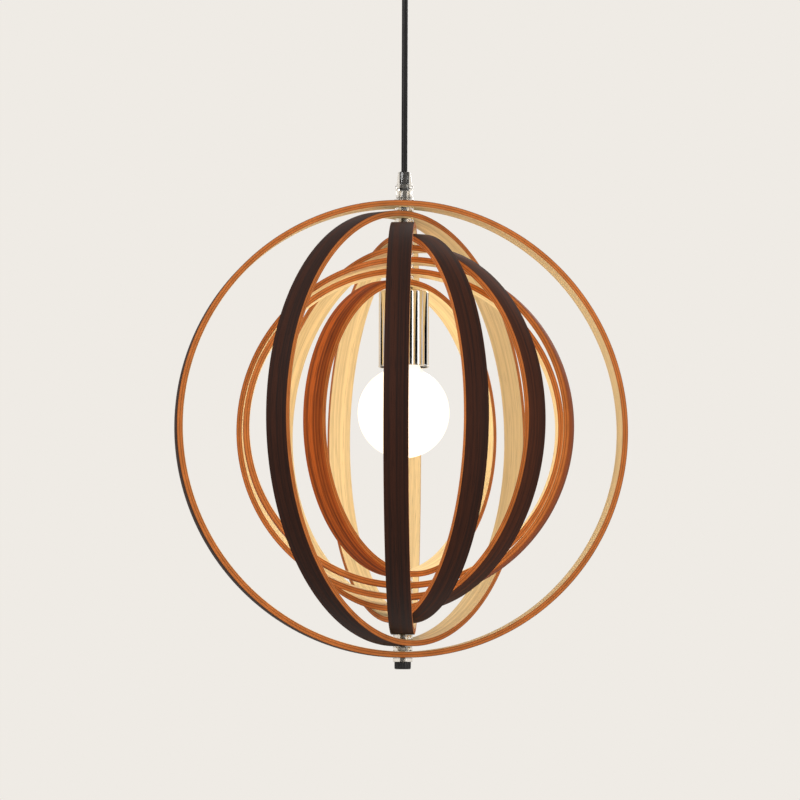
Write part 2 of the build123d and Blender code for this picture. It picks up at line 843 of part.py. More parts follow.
finish("bulb_globe", bulb_globe())
finish("bulb_cap", bulb_cap())
finish("bulb_cap_insulator", cone(insulator_base_radius, insulator_top_radius, bulb_cap_top_z, insulator_height))
finish(
    "bulb_contact",
    cone(
        bulb_contact_radius,
        bulb_contact_radius - bulb_contact_height,
        bulb_tip_z - bulb_contact_height,
        bulb_contact_height,
    ),
)
finish("bulb_mount", bulb_mount())
finish("bulb_filament", bulb_filament())
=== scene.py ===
"""How the orb pendant lamp looks: its finishes and its finer shapes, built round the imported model.

Metres, +Z up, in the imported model's frame, with the origin on the ceiling. Every group of pieces
is made by its own operator, from the sizes and colours in the scene's property groups. The panel
in the 3D view's sidebar lists the operators in the order in which they run.
"""

import json
from math import acos, atan2, ceil, cos, degrees, pi, radians, sin, sqrt

import bmesh
import bpy
from bpy.props import FloatProperty, FloatVectorProperty, IntProperty, PointerProperty
from bpy.types import Operator, Panel, PropertyGroup
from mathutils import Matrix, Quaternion, Vector

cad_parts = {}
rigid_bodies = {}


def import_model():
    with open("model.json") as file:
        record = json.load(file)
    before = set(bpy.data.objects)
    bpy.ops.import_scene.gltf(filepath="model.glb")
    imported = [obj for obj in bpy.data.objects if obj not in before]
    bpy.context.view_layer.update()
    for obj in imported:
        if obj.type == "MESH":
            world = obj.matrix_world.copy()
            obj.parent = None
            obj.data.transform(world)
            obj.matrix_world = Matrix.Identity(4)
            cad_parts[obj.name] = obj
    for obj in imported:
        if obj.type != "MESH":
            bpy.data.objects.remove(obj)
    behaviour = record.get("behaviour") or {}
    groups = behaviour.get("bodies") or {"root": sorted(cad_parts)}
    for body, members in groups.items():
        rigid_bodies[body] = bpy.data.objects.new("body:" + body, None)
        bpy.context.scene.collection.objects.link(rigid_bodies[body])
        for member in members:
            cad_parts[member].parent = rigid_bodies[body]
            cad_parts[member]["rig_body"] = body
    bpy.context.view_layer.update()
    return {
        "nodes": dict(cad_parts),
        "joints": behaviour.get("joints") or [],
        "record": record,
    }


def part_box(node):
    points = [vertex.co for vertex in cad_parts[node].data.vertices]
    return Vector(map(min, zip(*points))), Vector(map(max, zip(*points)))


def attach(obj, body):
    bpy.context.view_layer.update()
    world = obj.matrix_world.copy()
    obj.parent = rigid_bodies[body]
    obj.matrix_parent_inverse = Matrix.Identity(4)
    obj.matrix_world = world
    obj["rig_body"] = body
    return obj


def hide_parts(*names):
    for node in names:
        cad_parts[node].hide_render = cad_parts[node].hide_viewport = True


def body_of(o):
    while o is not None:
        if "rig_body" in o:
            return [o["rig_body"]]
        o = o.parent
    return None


bl_info = {
    "name": "Orb Pendant Lamp",
    "version": (1, 0, 0),
    "blender": (4, 5, 0),
    "location": "View3D > Sidebar > Orb Lamp",
    "description": "Builds a pendant lamp of nested bentwood hoops round its packed model",
    "category": "Add Mesh",
}

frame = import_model()
nodes = frame["nodes"]
slot_of = {row["node"]: row["material_slot"] for row in frame["record"]["subparts"]}
hoop_nodes = sorted(name for name in nodes if name.startswith("hoop_"))
lamp_height = frame["joints"][0]["pos_m"][2]  # the middle of the hoops

clearance = 0.0001  # room all round in a bore, and between two pieces that don't touch
crease = radians(35)  # an edge that turns by more than this stays sharp


def low(node):
    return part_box(node)[0]


def high(node):
    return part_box(node)[1]


def ends(node):
    """The heights of a node's bottom and top."""
    return low(node)[2], high(node)[2]


def width(node):
    return high(node)[0] - low(node)[0]


def bore_for(node):
    """The radius of a bore that a node goes through."""
    return width(node) / 2 + clearance


def linear(hex_colour):
    """Linear red, green and blue of an sRGB hex colour."""
    shares = [int(hex_colour[i : i + 2], 16) / 255 for i in (0, 2, 4)]
    return tuple(s / 12.92 if s <= 0.04045 else ((s + 0.055) / 1.055) ** 2.4 for s in shares)


# ---- Sizes and colours that a user would change ----


def number(name, description, default, **more):
    return FloatProperty(name=name, description=description, default=default, **more)


def length(name, description, default):
    return number(name, description, default, unit="LENGTH", precision=5)


def angle(name, description, default):
    """An angle whose default is given in degrees."""
    return number(name, description, radians(default), unit="ROTATION")


def colour(name, description, default):
    """A colour whose default is given as sRGB hex."""
    return FloatVectorProperty(
        name=name, description=description, default=linear(default), subtype="COLOR", min=0, max=1
    )


class OrbLampHoops(PropertyGroup):
    outer_radius: length("Outer radius", "Outside radius of the outermost hoop", 0.2)
    step: length("Step", "Difference in radius between one hoop and the next", 0.01)
    ply: length("Ply", "Thickness of one veneer in the strip", 0.0006)
    ply_count: IntProperty(name="Plies", description="Veneers in the strip", default=9, min=2)
    width: length("Width", "Width of the bent strip", 0.0205)
    edge_round: length("Edge round", "Radius sanded on every edge of the strip", 0.0005)
    stem_hole: length("Stem hole", "Radius of the hole at the top pole", 0.00508)
    stud_hole: length("Stud hole", "Radius of the hole at the bottom pole", 0.00258)
    angles: FloatVectorProperty(
        name="Angles",
        description="Turn of each hoop about the upright axis, outermost first",
        size=8,
        unit="ROTATION",
        default=[radians(a) for a in (10.5, 56.5, 88.0, -69.0, -45.5, -14.5, 4.0, 54.0)],
    )
    # Each hoop's outer face is painted from shade, 0, to light, 1: the dark stain is painted shade, and the
    # amber one is the wood's warm colour with painted light
    tones: FloatVectorProperty(
        name="Tones",
        description="How far each hoop's outer veneer goes from the dark stain, 0, to the amber one, 1",
        size=8,
        min=0,
        max=1,
        default=(0.0, 0.0, 0.0, 0.03, 0.08, 0.75, 0.85, 1.0),
    )


class OrbLampFittings(PropertyGroup):
    cord_diameter: length("Cord diameter", "Outside diameter of the cord's sheath", 0.0054)
    spacer_round: length("Spacer round", "Radius on the edges of the plastic rings", 0.0003)
    stud_pitch: length("Stud pitch", "Pitch of the thread on the bottom stud", 0.0008)
    cup_wall: length("Cup wall", "Thickness of the metal cup", 0.0008)
    cup_shoulder: length("Cup shoulder", "Outside radius between the cup's side and its top", 0.002)
    cup_bead: length("Cup bead", "Radius of the cup's rolled rim", 0.0007)
    globe_neck: length("Globe neck", "Outside radius of the bulb's glass neck", 0.0142)
    globe_blend: length("Globe blend", "Radius of the curve between the neck and the globe", 0.008)
    finial_flutes: IntProperty(
        name="Finial flutes", description="Grooves round the knob nut", default=18, min=6
    )


class OrbLampColours(PropertyGroup):
    # Painted shade and painted light of the outer veneer: the dark colour is the wood unlit, the amber one
    # its warm colour lit by warm light
    dark_veneer: colour("Dark veneer", "Dark stain of the veneer outside most hoops", "30160B")
    amber_veneer: colour("Amber veneer", "Amber stain of the veneer outside the inner hoops", "B2561E")
    inner_veneer: colour("Inner veneer", "Pale face veneer inside the hoops", "EED6A4")
    ply_edge: colour("Ply edge", "Sanded edges of the plies", "C77438")
    cord: colour("Cord", "Sheath of the cord", "100E0E")
    metal_black: colour("Black metal", "Canopy and knob nut", "121111")
    plastic: colour("Clear plastic", "Tint of the grips, rings, washer and stem", "F3EFE8")
    glass: colour("Opal glass", "The bulb's globe, unlit", "FFF7EA")
    glow: colour("Glow", "Light of the bulb", "FFEFD8")
    floor: colour("Floor", "The floor under the lamp", "E9E5DF")
    background: colour("Background", "What the camera sees past the lamp", "EFEBE5")


class OrbLampStage(PropertyGroup):
    camera_distance: length("Camera distance", "From the camera to the middle of the hoops", 2.6)
    camera_rise: angle("Camera rise", "Angle of the camera above the middle of the hoops", -4.5)
    camera_roll: angle("Camera roll", "Turn of the camera about its own line of sight", 0.2)
    camera_tilt: angle("Camera tilt", "Angle of the line of sight above the middle of the hoops", 0.543)
    camera_pan: angle("Camera pan", "Angle of the line of sight to the left of the hoops' middle", 0.067)
    focal_length: number(
        "Focal length", "Focal length of the lens, in millimetres on a 36 mm sensor", 133.8, min=10
    )
    floor_drop: length("Floor drop", "From the ceiling down to the floor", 1.25)
    sky_strength: number("Sky strength", "Strength of the light from all round", 0.45, min=0)
    bulb_strength: number("Bulb strength", "Strength at which the lit globe itself is seen", 1.0, min=0)
    bulb_power: number(
        "Bulb power", "Power of the light that the globe sheds on the hoops", 0.3, min=0, unit="POWER"
    )


class OrbLampSettings(PropertyGroup):
    hoops: PointerProperty(type=OrbLampHoops)
    fittings: PointerProperty(type=OrbLampFittings)
    colours: PointerProperty(type=OrbLampColours)
    stage: PointerProperty(type=OrbLampStage)


def settings():
    return bpy.context.scene.orb_lamp


# ---- Pieces and their shapes ----


def show(name, data):
    """A new object in the scene."""
    made = bpy.data.objects.new(name, data)
    bpy.context.scene.collection.objects.link(made)
    return made


def stand_for(piece, *cad_nodes):
    """The piece takes the place, the body and the finish of these nodes."""
    body = body_of(nodes[cad_nodes[0]])[0]
    slot = slot_of[cad_nodes[0]]
    piece.data.materials.clear()
    piece.data.materials.append(finish_for(slot))
    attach(piece, body)
    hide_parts(*cad_nodes)


def arc(centre, radius, start, end, steps=6):
    """Points along an arc from one angle to another, in degrees."""
    turns = [radians(start + (end - start) * i / steps) for i in range(steps + 1)]
    return [(centre[0] + radius * cos(t), centre[1] + radius * sin(t)) for t in turns]


def rounded(corners, steps=5):
    """A closed outline through (radius, height, rounding) corners."""
    points = []
    for i, (r, z, rounding) in enumerate(corners):
        if rounding == 0:
            points.append((r, z))
            continue
        here = Vector((r, z))
        before = (Vector(corners[i - 1][:2]) - here).normalized()
        after = (Vector(corners[(i + 1) % len(corners)][:2]) - here).normalized()
        half = before.angle(after) / 2
        middle = here + (before + after).normalized() * rounding / sin(half)
        first = here + before * rounding / sin(half) * cos(half) - middle
        last = here + after * rounding / sin(half) * cos(half) - middle
        for step in range(steps + 1):
            towards = first.slerp(last, step / steps).normalized()
            points.append(tuple(middle + towards * rounding))
    return points


def turned(name, outline, segments=96):
    """A piece turned on the lamp's axis from a closed outline of (radius, height) points."""
    on_axis = 1e-7  # a radius as small as this makes one point, not a ring of them
    shape = bmesh.new()
    rings = []
    for r, z in outline:
        turns = [2 * pi * i / segments for i in range(segments if r > on_axis else 1)]
        rings.append([shape.verts.new((r * cos(t), r * sin(t), z)) for t in turns])
    for here, there in zip(rings, rings[1:] + rings[:1]):
        for i in range(segments):
            j = (i + 1) % segments
            corners = [here[i % len(here)], here[j % len(here)], there[j % len(there)], there[i % len(there)]]
            corners = list(dict.fromkeys(corners))
            if len(corners) > 2:
                shape.faces.new(corners)
    bmesh.ops.recalc_face_normals(shape, faces=shape.faces)
    mesh = bpy.data.meshes.new(name)
    shape.to_mesh(mesh)
    shape.free()
    mesh.shade_smooth()
    mesh.set_sharp_from_angle(angle=crease)
    return show(name, mesh)


def sleeve(name, node, bore, roundings, segments=96):
    """A plain tube or ring in a node's place, as wide and as tall as the node.

    The roundings are those of the bottom's bore and rim, then of the top's rim and bore.
    """
    radius, (bottom, top) = width(node) / 2, ends(node)
    corners = zip((bore, radius, radius, bore), (bottom, bottom, top, top), roundings)
    stand_for(turned(name, rounded(list(corners)), segments), node)


# ---- Node trees ----


def feed(tree, node, socket, value):
    """Gives a node's input a value, another node's output, or the first output that a node has in use."""
    if isinstance(value, bpy.types.Node):
        value = next(output for output in value.outputs if output.enabled)
    if isinstance(value, bpy.types.NodeSocket):
        tree.links.new(value, node.inputs[socket])
    else:
        node.inputs[socket].default_value = value


def add(tree, kind, *feeds, **options):
    """Adds a node with its options, and feeds it from (input, value) pairs."""
    made = tree.nodes.new(kind)
    for option, value in options.items():
        setattr(made, option, value)
    for socket, value in feeds:
        feed(tree, made, socket, value)
    return made


socket_kinds = {"Geometry": "NodeSocketGeometry", "Material": "NodeSocketMaterial", "Count": "NodeSocketInt"}


def geometry_tree(name, *inputs):
    """A new Geometry Nodes tree, and the outputs of its input node. Inputs not named above are floats."""
    tree = bpy.data.node_groups.new(name, "GeometryNodeTree")
    for label in inputs:
        kind = socket_kinds.get(label, "NodeSocketFloat")
        tree.interface.new_socket(label, in_out="INPUT", socket_type=kind)
    tree.interface.new_socket("Geometry", in_out="OUTPUT", socket_type="NodeSocketGeometry")
    return tree, add(tree, "NodeGroupInput").outputs


def close_tree(tree, given, geometry):
    """Ends a tree: smooth but for its sharp edges, made real, with its material."""
    real = add(tree, "GeometryNodeRealizeInstances", ("Geometry", geometry))
    smooth = add(tree, "GeometryNodeSetShadeSmooth", ("Geometry", real), domain="FACE")
    bend = add(tree, "GeometryNodeInputMeshEdgeAngle").outputs["Unsigned Angle"]
    is_sharp = add(tree, "FunctionNodeCompare", ("A", bend), ("B", crease), operation="GREATER_THAN")
    edges = [("Geometry", smooth), ("Selection", is_sharp), ("Shade Smooth", False)]
    creased = add(tree, "GeometryNodeSetShadeSmooth", *edges, domain="EDGE")
    painted = add(tree, "GeometryNodeSetMaterial", ("Geometry", creased), ("Material", given["Material"]))
    add(tree, "NodeGroupOutput", ("Geometry", painted))
    return tree


def grow(name, node, tree, values, blank=None):
    """Adds a plain mesh in a node's place that a tree makes, or that it cuts from a blank."""
    piece = blank or show(name, bpy.data.meshes.new(name))
    modifier = piece.modifiers.new(tree.name, "NODES")
    modifier.node_group = tree
    values = {"Material": finish_for(slot_of[node]), **values}
    for item in tree.interface.items_tree:
        if item.in_out == "INPUT" and item.name in values:
            modifier[item.identifier] = values[item.name]
    graph = bpy.context.evaluated_depsgraph_get()
    mesh = bpy.data.meshes.new_from_object(
        piece.evaluated_get(graph), preserve_all_data_layers=True, depsgraph=graph
    )
    piece.modifiers.clear()
    piece.data = mesh
    mesh.name = name
    stand_for(piece, node)


def swept_ring(tree, resolution, radius, wall, height, edge_round):
    """A ring of oblong section with rounded edges, round the upright axis. Its radius is its middle's."""
    circle = add(tree, "GeometryNodeCurvePrimitiveCircle", ("Resolution", resolution), ("Radius", radius))
    section = add(tree, "GeometryNodeCurvePrimitiveQuadrilateral", ("Width", wall), ("Height", height))
    fillet = [("Curve", section), ("Count", 3), ("Radius", edge_round)]
    eased = add(tree, "GeometryNodeFilletCurve", *fillet, mode="POLY")
    return add(tree, "GeometryNodeCurveToMesh", ("Curve", circle), ("Profile Curve", eased))


def reach_from_axis(tree, position):
    """How far each point is from the upright axis."""
    flat = add(tree, "ShaderNodeVectorMath", (0, position), (1, (1, 1, 0)), operation="MULTIPLY")
    return add(tree, "ShaderNodeVectorMath", (0, flat), operation="LENGTH")


def bent_strip_tree():
    """A strip bent to a full hoop and drilled at both poles, standing upright.

    "strip" keeps where each point was on the hoop before it was stood up, and "depth" how far
    it is outside the middle of the strip's thickness, so that the grain follows the strip. "tone"
    is the hoop's share of painted light on its outer face, from painted shade at 0 to painted light at 1.
    """
    sizes = ("Radius", "Thickness", "Width", "Edge Round", "Stem Hole", "Stud Hole", "Angle", "Height")
    tree, given = geometry_tree("Bent strip", "Material", *sizes, "Tone")
    half = add(tree, "ShaderNodeMath", (0, given["Thickness"]), (1, 2.0), operation="DIVIDE")
    middle = add(tree, "ShaderNodeMath", (0, given["Radius"]), (1, half), operation="SUBTRACT")
    shaped = swept_ring(tree, 256, middle, given["Thickness"], given["Width"], given["Edge Round"])
    drill_depth = 0.03
    for hole, side in (("Stem Hole", 1.0), ("Stud Hole", -1.0)):
        rod = [("Vertices", 48), ("Radius", given[hole]), ("Depth", drill_depth)]
        drill = add(tree, "GeometryNodeMeshCylinder", *rod)
        pole = add(tree, "ShaderNodeMath", (0, middle), (1, side), operation="MULTIPLY")
        place = add(tree, "ShaderNodeCombineXYZ", ("Y", pole))
        move = [("Translation", place), ("Rotation", (pi / 2, 0, 0))]
        placed = add(tree, "GeometryNodeTransform", ("Geometry", drill), *move)
        cut = {"operation": "DIFFERENCE", "solver": "MANIFOLD"}
        shaped = add(tree, "GeometryNodeMeshBoolean", (0, shaped), (1, placed), **cut)
    position = add(tree, "GeometryNodeInputPosition")
    reach = reach_from_axis(tree, position)
    depth = add(tree, "ShaderNodeMath", (0, reach), (1, middle), operation="SUBTRACT")
    # tone carries the hoop's share of painted light on its outer face
    for name, value, kind in (
        ("strip", position, "FLOAT_VECTOR"),
        ("depth", depth, "FLOAT"),
        ("tone", given["Tone"], "FLOAT"),
    ):
        record = [("Geometry", shaped), ("Name", name), ("Value", value)]
        shaped = add(tree, "GeometryNodeStoreNamedAttribute", *record, data_type=kind, domain="POINT")
    turn = add(tree, "ShaderNodeCombineXYZ", ("X", pi / 2), ("Z", given["Angle"]))
    lift = add(tree, "ShaderNodeCombineXYZ", ("Z", given["Height"]))
    stand = [("Translation", lift), ("Rotation", turn)]
    stood = add(tree, "GeometryNodeTransform", ("Geometry", shaped), *stand)
    return close_tree(tree, given, stood)


def ring_stack_tree():
    """A row of equal plastic rings, one above the other."""
    sizes = ("First Height", "Step", "Radius", "Bore", "Ring Height", "Edge Round")
    tree, given = geometry_tree("Ring stack", "Material", "Count", *sizes)
    first = add(tree, "ShaderNodeCombineXYZ", ("Z", given["First Height"]))
    step = add(tree, "ShaderNodeCombineXYZ", ("Z", given["Step"]))
    line = [("Count", given["Count"]), ("Start Location", first), ("Offset", step)]
    places = add(tree, "GeometryNodeMeshLine", *line)
    both = add(tree, "ShaderNodeMath", (0, given["Radius"]), (1, given["Bore"]), operation="ADD")
    middle = add(tree, "ShaderNodeMath", (0, both), (1, 0.5), operation="MULTIPLY")
    wall = add(tree, "ShaderNodeMath", (0, given["Radius"]), (1, given["Bore"]), operation="SUBTRACT")
    ring = swept_ring(tree, 64, middle, wall, given["Ring Height"], given["Edge Round"])
    rings = add(tree, "GeometryNodeInstanceOnPoints", ("Points", places), ("Instance", ring))
    return close_tree(tree, given, rings)


def turn_cut_tree(name, inputs, groove):
    """A tree that cuts into the outside of a turned blank.

    groove adds the nodes that say how deep to cut, from the tree, its inputs, the share of a
    full turn and the height at each point.
    """
    tree, given = geometry_tree(name, "Geometry", "Material", "Radius", *inputs)
    position = add(tree, "GeometryNodeInputPosition")
    parts = add(tree, "ShaderNodeSeparateXYZ", (0, position)).outputs
    turn = add(tree, "ShaderNodeMath", (0, parts["Y"]), (1, parts["X"]), operation="ARCTAN2")
    share = add(tree, "ShaderNodeMath", (0, turn), (1, 2 * pi), operation="DIVIDE")
    reach = reach_from_axis(tree, position)
    deep = groove(tree, given, share, parts["Z"])
    left = add(tree, "ShaderNodeMath", (0, reach), (1, deep), operation="SUBTRACT")
    scale = add(tree, "ShaderNodeMath", (0, left), (1, reach), operation="DIVIDE")
    sideways = add(tree, "ShaderNodeCombineXYZ", ("X", scale), ("Y", scale), ("Z", 1.0))
    moved = add(tree, "ShaderNodeVectorMath", (0, position), (1, sideways), operation="MULTIPLY")
    skin = add(tree, "ShaderNodeMath", (0, given["Radius"]), (1, 0.999), operation="MULTIPLY")
    outside = add(tree, "FunctionNodeCompare", ("A", reach), ("B", skin), operation="GREATER_THAN")
    surface = [("Geometry", given["Geometry"]), ("Selection", outside), ("Position", moved)]
    cut = add(tree, "GeometryNodeSetPosition", *surface)
    return close_tree(tree, given, cut)


def thread_tree():
    """Cuts a screw thread into a turned rod."""

    def groove(tree, given, share, height):
        turns = add(tree, "ShaderNodeMath", (0, height), (1, given["Pitch"]), operation="DIVIDE")
        phase = add(tree, "ShaderNodeMath", (0, turns), (1, share), operation="SUBTRACT")
        flank = add(tree, "ShaderNodeMath", (0, phase), (1, 0.5), operation="PINGPONG")
        steep = add(tree, "ShaderNodeMath", (0, flank), (1, 2.0), operation="MULTIPLY")
        return add(tree, "ShaderNodeMath", (0, steep), (1, given["Depth"]), operation="MULTIPLY")

    return turn_cut_tree("Screw thread", ("Pitch", "Depth"), groove)


def flute_tree():
    """Cuts round-bottomed flutes into the side of a knob."""

    def groove(tree, given, share, height):
        turns = add(tree, "ShaderNodeMath", (0, share), (1, given["Flutes"]), operation="MULTIPLY")
        away = add(tree, "ShaderNodeMath", (0, turns), (1, 0.5), operation="PINGPONG")
        girth = add(tree, "ShaderNodeMath", (0, given["Radius"]), (1, 2 * pi), operation="MULTIPLY")
        pitch = add(tree, "ShaderNodeMath", (0, girth), (1, given["Flutes"]), operation="DIVIDE")
        off = add(tree, "ShaderNodeMath", (0, away), (1, pitch), operation="MULTIPLY")
        reach = add(tree, "ShaderNodeMath", (0, given["Flute Radius"]), (1, 2.0), operation="POWER")
        gone = add(tree, "ShaderNodeMath", (0, off), (1, 2.0), operation="POWER")
        rest = add(tree, "ShaderNodeMath", (0, reach), (1, gone), operation="SUBTRACT")
        kept = add(tree, "ShaderNodeMath", (0, rest), (1, 0.0), operation="MAXIMUM")
        return add(tree, "ShaderNodeMath", (0, kept), operation="SQRT")

    return turn_cut_tree("Flutes", ("Flutes", "Flute Radius"), groove)


# ---- Finishes ----


def shade(base, share):
    """An opaque colour that is a share of the base colour, and never past white."""
    return (*[min(1.0, c * share) for c in base], 1)


def finish(name, **shader_values):
    """A new material with its shader, whose values are constants on the shader's own sockets."""
    made = bpy.data.materials.new(name)
    made.use_nodes = True
    tree = made.node_tree
    tree.nodes.clear()
    feeds = [
        (socket.replace("_", " ").title().replace("Ior", "IOR"), value)
        for socket, value in shader_values.items()
    ]
    shader = add(tree, "ShaderNodeBsdfPrincipled", *feeds)
    add(tree, "ShaderNodeOutputMaterial", ("Surface", shader))
    return made, tree, shader


def mottle(tree, shader, base, size, spread, roughness, bump=0.0):
    """Gives a finish its faint unevenness: colour, roughness and bump that drift over one size, in metres."""
    place = add(tree, "ShaderNodeTexCoord").outputs["Object"]
    noise = add(tree, "ShaderNodeTexNoise", ("Vector", place), ("Scale", 1 / size), ("Detail", 4.0))
    dark, light = shade(base, 1 - spread), shade(base, 1 + spread)
    tone = add(tree, "ShaderNodeMix", (0, noise), (6, dark), (7, light), data_type="RGBA")
    feed(tree, shader, "Base Color", tone)
    smoothest, roughest = roughness
    rough = add(tree, "ShaderNodeMapRange", ("Value", noise), ("To Min", smoothest), ("To Max", roughest))
    feed(tree, shader, "Roughness", rough)
    if bump > 0:
        relief = add(tree, "ShaderNodeBump", ("Strength", 0.5), ("Distance", bump), ("Height", noise))
        feed(tree, shader, "Normal", relief)


def even_finish(name, base, size, spread, roughness, bump=0.0, **shader_values):
    """A finish of one colour, but for its faint unevenness."""
    made, tree, shader = finish(name, **shader_values)
    mottle(tree, shader, base, size, spread, roughness, bump)
    return made


def bentwood():
    """Laminated ash strip: painted shade and light on the outside face, pale inside face, sanded ply edges
    under thin lacquer.

    The eye gets long straight grain along the hoop on the faces, and the plies as fine lines on
    the edges.
    """
    sizes, colours = settings().hoops, settings().colours
    thickness = sizes.ply * sizes.ply_count
    made, tree, shader = finish("lacquered_ash_ply", ior=1.5, specular_ior_level=0.18)
    strip, depth, tone = [
        add(tree, "ShaderNodeAttribute", attribute_name=name).outputs[output]
        for name, output in (("strip", "Vector"), ("depth", "Fac"), ("tone", "Fac"))
    ]

    def streaks(run, spacing, detail):
        """Noise whose marks run on so far along the strip, and lie so far apart across it."""
        scale = (1 / run, 1 / run, 1 / spacing)
        place = add(tree, "ShaderNodeMapping", ("Vector", strip), ("Scale", scale))
        return add(tree, "ShaderNodeTexNoise", ("Vector", place), ("Scale", 1.0), ("Detail", detail))

    # Growth rings cross a face about every 2.5 mm, and run on for some 400 mm along the strip
    grain = streaks(0.4, 0.0025, 5.0)
    grain_tone = add(tree, "ShaderNodeMapRange", ("Value", grain), ("From Min", 0.36), ("From Max", 0.64))
    # Pores are 0.1 mm across and some 6 mm long. They are drawn 0.4 by 25 mm, so that they show
    pores = streaks(0.025, 0.0004, 2.0)
    pore_mask = add(tree, "ShaderNodeMapRange", ("Value", pores), ("From Min", 0.56), ("From Max", 0.7))

    def veneer(base, dark_share, light_share, pore_share):
        """One face veneer: its rings between a dark and a light tone, with the pores darker still."""
        dark, light = shade(base, dark_share), shade(base, light_share)
        rings = add(tree, "ShaderNodeMix", (0, grain_tone), (6, dark), (7, light), data_type="RGBA")
        pore = shade(base, pore_share)
        return add(tree, "ShaderNodeMix", (0, pore_mask), (6, rings), (7, pore), data_type="RGBA")

    # The outer face is painted shade, dark, on the outer hoops and painted light, amber, on the inner ones,
    # blended by each hoop's tone
    dark = veneer(colours.dark_veneer, 0.45, 1.4, 0.3)
    amber = veneer(colours.amber_veneer, 0.38, 1.35, 0.25)
    inner = veneer(colours.inner_veneer, 0.8, 1.06, 0.66)
    outer = add(tree, "ShaderNodeMix", (0, tone), (6, dark), (7, amber), data_type="RGBA")

    # Each ply of the edge has its own tone, and a dark glue line between it and the next
    from_inside = add(tree, "ShaderNodeMath", (0, depth), (1, thickness / 2), operation="ADD")
    ply = add(tree, "ShaderNodeMath", (0, from_inside), (1, sizes.ply), operation="DIVIDE")
    ply_number = add(tree, "ShaderNodeMath", (0, ply), operation="FLOOR")
    ply_tone = add(tree, "ShaderNodeTexWhiteNoise", ("W", ply_number), noise_dimensions="1D")
    ply_wave = add(tree, "ShaderNodeMath", (0, ply), (1, 0.5), operation="PINGPONG")
    glue = add(tree, "ShaderNodeMapRange", ("Value", ply_wave), ("From Min", 0.0), ("From Max", 0.16))
    fibres = streaks(1 / 60, 0.0025, 3.0)
    edge_shade = add(tree, "ShaderNodeMath", (0, ply_tone), (1, fibres), operation="ADD")
    edge_share = add(tree, "ShaderNodeMapRange", ("Value", edge_shade), ("From Min", 0.4), ("From Max", 1.6))
    dark_ply, light_ply, glue_line = [shade(colours.ply_edge, share) for share in (0.6, 1.35, 0.3)]
    plies = add(tree, "ShaderNodeMix", (0, edge_share), (6, dark_ply), (7, light_ply), data_type="RGBA")
    edge = add(tree, "ShaderNodeMix", (0, glue), (6, glue_line), (7, plies), data_type="RGBA")

    # The faces start where the sanded edge ends
    edge_end = thickness / 2 - sizes.edge_round
    face = thickness / 2 - 0.2 * sizes.edge_round
    whole = edge
    for side, face_veneer in ((1, outer), (-1, inner)):
        span = [("From Min", side * edge_end), ("From Max", side * face)]
        on_face = add(tree, "ShaderNodeMapRange", ("Value", depth), *span)
        whole = add(tree, "ShaderNodeMix", (0, on_face), (6, whole), (7, face_veneer), data_type="RGBA")
    feed(tree, shader, "Base Color", whole)
    rough = add(tree, "ShaderNodeMapRange", ("Value", grain), ("To Min", 0.6), ("To Max", 0.8))
    feed(tree, shader, "Roughness", rough)
    relief = add(tree, "ShaderNodeBump", ("Strength", 0.2), ("Distance", 0.0001), ("Height", grain_tone))
    feed(tree, shader, "Normal", relief)
    return made


def clear_plastic():
    """Clear polycarbonate, injection moulded: bright edges, and the cord seen thicker through it."""
    clear, tint = {"ior": 1.58, "transmission_weight": 1.0}, settings().colours.plastic
    return even_finish("clear_polycarbonate", tint, size=0.004, spread=0.02, roughness=(0.02, 0.07), **clear)


def cord_black():
    """Black PVC sheath, extruded: dark, with a soft highlight that wavers a little along the cord."""
    sheen, black = {"ior": 1.53, "specular_ior_level": 0.2}, settings().colours.cord
    return even_finish(
        "black_pvc_sheath", black, size=0.006, spread=0.12, roughness=(0.28, 0.42), bump=0.00008, **sheen
    )


def chromed_cup():
    """Bright chromium plate on spun steel: a mirror, with faint turning lines from the spinning."""
    made, tree, shader = finish("bright_chrome_plate", metallic=1.0)
    mottle(tree, shader, linear("DEDFE0"), size=0.02, spread=0.02, roughness=(0.03, 0.08))
    place = add(tree, "ShaderNodeTexCoord").outputs["Object"]
    waves = [("Vector", place), ("Scale", 180.0), ("Distortion", 0.4)]
    lines = add(tree, "ShaderNodeTexWave", *waves, bands_direction="Z")
    relief = add(tree, "ShaderNodeBump", ("Strength", 0.08), ("Distance", 0.00001), ("Height", lines))
    feed(tree, shader, "Normal", relief)
    return made


def black_metal():
    """Black powder coat on steel: satin, with the fine orange peel that the powder leaves."""
    black = settings().colours.metal_black
    return even_finish(
        "black_powder_coat", black, size=0.0015, spread=0.1, roughness=(0.35, 0.5), bump=0.00004, ior=1.5
    )


def plated_steel():
    """Zinc plate on steel: grey metal, a little cloudy."""
    grey = linear("97938E")
    return even_finish(
        "zinc_plated_steel", grey, size=0.004, spread=0.08, roughness=(0.28, 0.42), metallic=1.0
    )


def nickel_plate():
    """Nickel plate on the bulb's cap: warm white metal, satin."""
    warm_white = linear("C9C4B8")
    return even_finish(
        "nickel_plate", warm_white, size=0.003, spread=0.06, roughness=(0.2, 0.35), metallic=1.0
    )


def brass():
    """Plain rolled brass of the shell and the contacts: yellow metal, slightly dulled."""
    yellow = linear("C9A15A")
    return even_finish("rolled_brass", yellow, size=0.003, spread=0.1, roughness=(0.25, 0.4), metallic=1.0)


def tungsten():
    """Drawn tungsten wire: dark grey metal."""
    grey = linear("6E6A66")
    return even_finish("tungsten_wire", grey, size=0.001, spread=0.1, roughness=(0.35, 0.5), metallic=1.0)


def opal_glass():
    """Opal glass globe, lit: milky white all over, and smooth."""
    white, glow = settings().colours.glass, (*settings().colours.glow, 1)
    lit = {"ior": 1.52, "emission_color": glow, "emission_strength": settings().stage.bulb_strength}
    return even_finish("opal_glass", white, size=0.01, spread=0.02, roughness=(0.12, 0.2), **lit)


